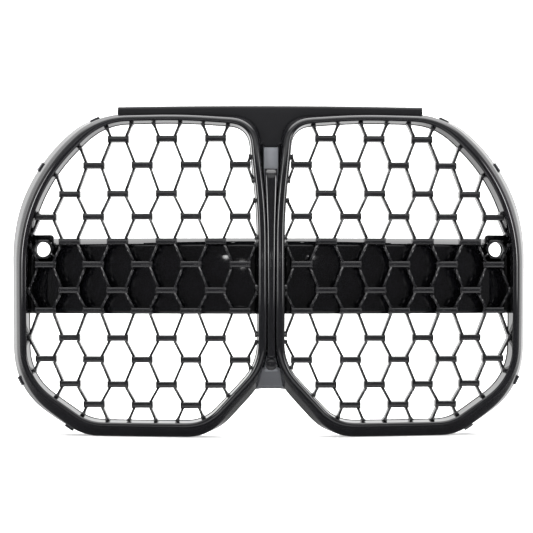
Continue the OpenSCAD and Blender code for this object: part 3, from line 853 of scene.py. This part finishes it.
STRAP_FRONT, STRAP_BACK = 47.5, 50.0
strap_edge = fine([[17, 184], [12, 100], [12, -112], [18, -144]])
web_box = spine_plate(fine([[1.5, 150], [1.5, -112]]), 14.0, 48.0, 0.2)
tabs = [plate(box_loop(-16, 16, z - 9, z + 9, 3.0), STRAP_FRONT, STRAP_BACK, 0.5) for z in (62.0, -86.0)]
base_bar = spine_plate(fine(base_edge), 12.0, 15.0, 0.5)
base_strap = spine_plate(strap_edge, STRAP_FRONT, STRAP_BACK, 0.4)
base_parts = [base_bar, base_strap, web_box] + tabs
spine_base = outward(put_mesh("spine_base_skin", *joined(base_parts), SPINE_GREY_AND_PAINTED_REFLECTION))
settle(spine_base, "spine_grey", "spine_base")


def trim_strip():
    """Rows up the spine, columns across: depth = 1.5 + 2.1 |u|^2.6 in the middle, sides back to 11.7,
    and a bull nose 12 mm tall and 9 mm deep at the upper end."""
    nose = 143 - 12 * (1 - np.sin(np.linspace(0.15, np.pi / 2, 16)))
    z = np.concatenate([np.linspace(-122, 128, 90), nose])
    w = np.interp(z, [-122, -40, 60, 143], [5.6, 5.4, 6.2, 8.6])[:, None]
    rise = np.clip((z - 131) / 12, 0, 1)[:, None]
    drop = 9.0 * (1 - np.sqrt(1 - 0.995 * rise ** 2))
    u = np.linspace(-0.93, 0.93, 17)[None, :]
    crown = 1.5 + 2.1 * np.abs(u) ** 2.6 + drop
    side = np.array([[1.0, 1.0, 1.0]])
    d = np.concatenate([crown, 4.6 + drop, np.minimum(7.5 + drop, 11.6), 11.7 + 0 * z[:, None],
                        11.7 + 0 * z[:, None], np.minimum(7.5 + drop, 11.6), 4.6 + drop], 1)
    x = np.concatenate([w * u, w * side, -w * side], 1)
    return lay(x, np.broadcast_to(z[:, None], x.shape), np.minimum(d, 11.7))


strip = trim_strip()
trim = outward(put_mesh("spine_trim_skin", strip, capped(strip), PIANO_BLACK))
settle(trim, "gloss_black", "spine_trim")

PLUG_Z = -131.0
plug_profile = [(0.01, 2.2), (2.5, 2.25), (4.6, 2.5), (6.0, 3.0), (6.5, 3.25), (6.75, 3.2), (6.95, 2.6),
                (7.2, 2.25), (7.6, 2.15), (8.0, 2.4), (8.2, 2.9), (8.2, 9.8), (7.8, 10.4), (5, 10.4),
                (5, 18), (0.01, 18)]
plug_points, plug_faces = lathe((0, back(0, PLUG_Z, 0), PLUG_Z), "y", plug_profile, 72)
plug = outward(put_mesh("camera_blank_skin", plug_points, plug_faces, PIANO_BLACK))
settle(plug, "gloss_black", "camera_blank")

# %% [markdown]
# ## The lower bridge
# Under the plug a sloping plate runs from one surround's flank to the
# other.  Its lower edge is a flat-topped arch with rounded corners.  The
# plate is ruled: straight lines join a short upper edge to the arch.

# %% Rule the lower bridge
def arch(u):
    """Height of the arch at x: flat out to 13.4 mm, then an arc of 18 mm radius that turns to a 45
    degree fall."""
    turn = 18.0 * np.sin(np.pi / 4)
    past = np.abs(u) - 13.4
    drop = 18.0 * (1 - np.sqrt(1 - (np.clip(past, 0, turn) / 18.0) ** 2))
    return -163.2 - drop - np.clip(past - turn, 0, None)


def bridge_sheet():
    """Front rows from the upper edge to the arch, a rounded lower edge, then the inside 2.4 mm behind."""
    u = np.linspace(-1, 1, 65)
    x0, x1 = 15.2 * u, 29.0 * u
    v = np.concatenate([np.linspace(0, 0.97, 12), [0.99, 1.0]])[None, :]
    x = x0[:, None] * (1 - v) + x1[:, None] * v
    z = -137.0 * (1 - v) + arch(x1)[:, None] * v
    d = 11.5 * (1 - v) + 44.5 * v + np.where(v > 0.98, 0.6 * (v - 0.97) / 0.03, 0)
    front = lay(x, z, d)
    inner = lay(x[:, ::-1], z[:, ::-1] + 1.4, np.minimum(d[:, ::-1] + 2.4, 46.5))
    return np.concatenate([front, inner], 1)


bridge = bridge_sheet()
strap = plate([[-10, -150], [10, -150], [36, -156], [40, -168], [32, -170], [12, -167.5], [-12, -167.5],
               [-32, -170], [-40, -168], [-36, -156]][::-1], STRAP_FRONT, STRAP_BACK, 0.5)
# The lower bridge is satin black; this grey is a painted sheen that stands for the light the sloping plate
# catches
BRIDGE_PAINTED_SHEEN = plastic("bridge_painted_sheen", (0.078, 0.081, 0.089), 0.32, 0.35, 0.35)
lower_bridge = outward(put_mesh("lower_bridge_skin", *joined([(bridge, capped(bridge)), strap]), BRIDGE_PAINTED_SHEEN))
settle(lower_bridge, "satin_black", "lower_bridge")

# %% [markdown]
# ## Floor and light
# A glossy black part is mostly a picture of what stands around it.  The
# room here is a plain pale studio: light from the sides, from behind and
# from above, and a dim side towards the viewer with two soft boxes, two
# tall strips and three small lamps.  So the faces stay black while their
# edges and flanks pick up white.

# %% Floor, backdrop, light and camera
def stage_sheet(name, corners, colour, glow=0.0):
    """A flat four-sided sheet with a pale paint, which may give off light of its own."""
    mesh = bpy.data.meshes.new(name)
    mesh.from_pydata([tuple(c) for c in corners], [], [tuple(range(len(corners)))])
    sheet = bpy.data.objects.new(name, mesh)
    bpy.context.scene.collection.objects.link(sheet)
    paint = bpy.data.materials.new(name + "_paint")
    paint.use_nodes = True
    skin = paint.node_tree.nodes["Principled BSDF"]
    skin.inputs["Base Color"].default_value = (*colour, 1)
    skin.inputs["Roughness"].default_value = 0.7
    skin.inputs["Emission Color"].default_value = (1, 1, 1, 1)
    skin.inputs["Emission Strength"].default_value = glow
    mesh.materials.append(paint)
    return sheet


FLOOR_HALF, FLOOR_GLOW = 6, 0.45
floor_corners = [(x * FLOOR_HALF, y * FLOOR_HALF, 0) for x, y in ((-1, -1), (1, -1), (1, 1), (-1, 1))]
floor = stage_sheet("pale_floor", floor_corners, (0.86, 0.86, 0.86), FLOOR_GLOW)
floor.visible_glossy = False


def pale_room(radius):
    """A white hollow ball round everything: only the backdrop, so no light and no reflection comes from
    it."""
    import bmesh
    ball = bmesh.new()
    bmesh.ops.create_icosphere(ball, subdivisions=4, radius=radius)
    mesh = bpy.data.meshes.new("pale_room")
    ball.to_mesh(mesh)
    ball.free()
    room = bpy.data.objects.new("pale_room", mesh)
    bpy.context.scene.collection.objects.link(room)
    mesh.materials.append(floor.data.materials[0].copy())
    mesh.materials[0].node_tree.nodes["Principled BSDF"].inputs["Emission Strength"].default_value = 1.1
    for ray in ("visible_diffuse", "visible_glossy", "visible_transmission", "visible_shadow"):
        setattr(room, ray, False)


pale_room(20.0)


def ramp_of(nt, axis_value, stops):
    """Grey level against a direction part that runs from -1 to 1: straight steps between (part, level)
    pairs."""
    spread = nt.nodes.new("ShaderNodeMapRange")
    spread.inputs["From Min"].default_value = -1.0
    ramp = nt.nodes.new("ShaderNodeValToRGB")
    while len(ramp.color_ramp.elements) < len(stops):
        ramp.color_ramp.elements.new(0.5)
    for e, (part, level) in zip(ramp.color_ramp.elements, stops):
        e.position, e.color = (part + 1) / 2, (level, level, level, 1)
    nt.links.new(axis_value, spread.inputs["Value"])
    nt.links.new(spread.outputs["Result"], ramp.inputs["Fac"])
    return ramp.outputs["Color"]


def blend(nt, kind, a, b, share=1.0):
    """Two colours put together by a mix of the given kind."""
    mix = nt.nodes.new("ShaderNodeMix")
    mix.data_type, mix.blend_type = "RGBA", kind
    mix.inputs[0].default_value = share
    nt.links.new(a, mix.inputs[6])
    nt.links.new(b, mix.inputs[7])
    return mix


def studio_light(depth_stops, height_stops, front_stops, lamps, strength):
    """Light of the room by direction. Sides and back: a depth ramp times a height ramp. Viewer's side:
    soft boxes above and below the eye line, as a height ramp of its own. Lamps are round spots: bright
    where the direction is within their radius in degrees."""
    room = bpy.data.worlds.new("studio")
    bpy.context.scene.world = room
    room.use_nodes = True
    nt = room.node_tree
    place = nt.nodes.new("ShaderNodeTexCoord")
    parts = nt.nodes.new("ShaderNodeSeparateXYZ")
    nt.links.new(place.outputs["Generated"], parts.inputs["Vector"])
    far = blend(nt, "MULTIPLY", ramp_of(nt, parts.outputs["Y"], depth_stops),
                ramp_of(nt, parts.outputs["Z"], height_stops))
    light = blend(nt, "MIX", ramp_of(nt, parts.outputs["Z"], front_stops), far.outputs[2])
    nt.links.new(ramp_of(nt, parts.outputs["Y"], [(-0.8, 0.0), (-0.6, 1.0)]), light.inputs[0])
    for direction, radius, level in lamps:
        toward = nt.nodes.new("ShaderNodeVectorMath")
        toward.operation = "DOT_PRODUCT"
        toward.inputs[1].default_value = np.array(direction) / np.linalg.norm(direction)
        nt.links.new(place.outputs["Generated"], toward.inputs[0])
        spot = nt.nodes.new("ShaderNodeMapRange")
        spot.interpolation_type = "SMOOTHSTEP"
        spot.inputs["From Min"].default_value = np.cos(np.radians(radius * 1.3))
        spot.inputs["From Max"].default_value = np.cos(np.radians(radius * 0.8))
        spot.inputs["To Max"].default_value = level
        nt.links.new(toward.outputs["Value"], spot.inputs["Value"])
        light = blend(nt, "ADD", light.outputs[2], spot.outputs["Result"])
    nt.links.new(light.outputs[2], nt.nodes["Background"].inputs["Color"])
    nt.nodes["Background"].inputs["Strength"].default_value = strength


# two tall strip lights far out at the sides, as chains of round spots, and three small lamps near the eye
side_strips = [((0.8 * s, -0.6, z), 5.5, 6.0) for s in (-1, 1) for z in (0.02, 0.12, 0.22, 0.32)]
small_lamps = [((x, -0.99, z), 0.5, 12.0) for x, z in ((-0.118, 0.05), (0.157, 0.05), (-0.065, 0.023))]
studio_light(depth_stops=[(-0.6, 0.35), (0.2, 0.55), (0.8, 0.95)],
             height_stops=[(-0.7, 0.1), (-0.3, 0.2), (-0.1, 0.8), (0.1, 1.0)],
             front_stops=[(-0.74, 0.08), (-0.65, 1.1), (-0.3, 1.1), (-0.26, 0.1), (0.33, 0.1), (0.37, 1.1),
                          (0.66, 1.1), (0.75, 0.2)],
             lamps=side_strips + small_lamps + [((0, 0.1, 1), 38, 3.5)],
             strength=1.3)
bpy.context.scene.view_settings.view_transform = "Standard"

from mathutils import Vector
eye_data = bpy.data.cameras.new("front_camera")
eye_data.lens, eye_data.sensor_width = 121.5, 36.0
eye = bpy.data.objects.new("front_camera", eye_data)
bpy.context.scene.collection.objects.link(eye)
EYE, AIM = Vector((-0.065, -2.561, 0.225)), Vector((-0.0059, -0.021, 0.241))
eye.location = EYE
eye.rotation_euler = (AIM - EYE).to_track_quat("-Z", "Y").to_euler()
bpy.context.scene.camera = eye
print("camera", round((AIM - EYE).length, 3), "m from the part")

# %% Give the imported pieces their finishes
FINISH = {"gloss_black": PIANO_BLACK, "mesh_black": MESH_BLACK, "band_black": BAND_BLACK,
          "satin_black": SATIN_BLACK, "spine_grey": SPINE_GREY_AND_PAINTED_REFLECTION, "matte_black": MATTE_BLACK,
          "spring_steel": SPRING_STEEL, "screw_steel": SCREW_STEEL}


def slot_of(node):
    """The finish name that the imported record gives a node: the stem of its imported material."""
    return node.data.materials[0].name.split(".")[0]


for node_name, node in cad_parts.items():
    if node.hide_render:
        continue
    finish_name = slot_of(node)
    for i in range(len(node.data.materials)):
        node.data.materials[i] = FINISH[finish_name]
    print("carried over:", node_name, finish_name)
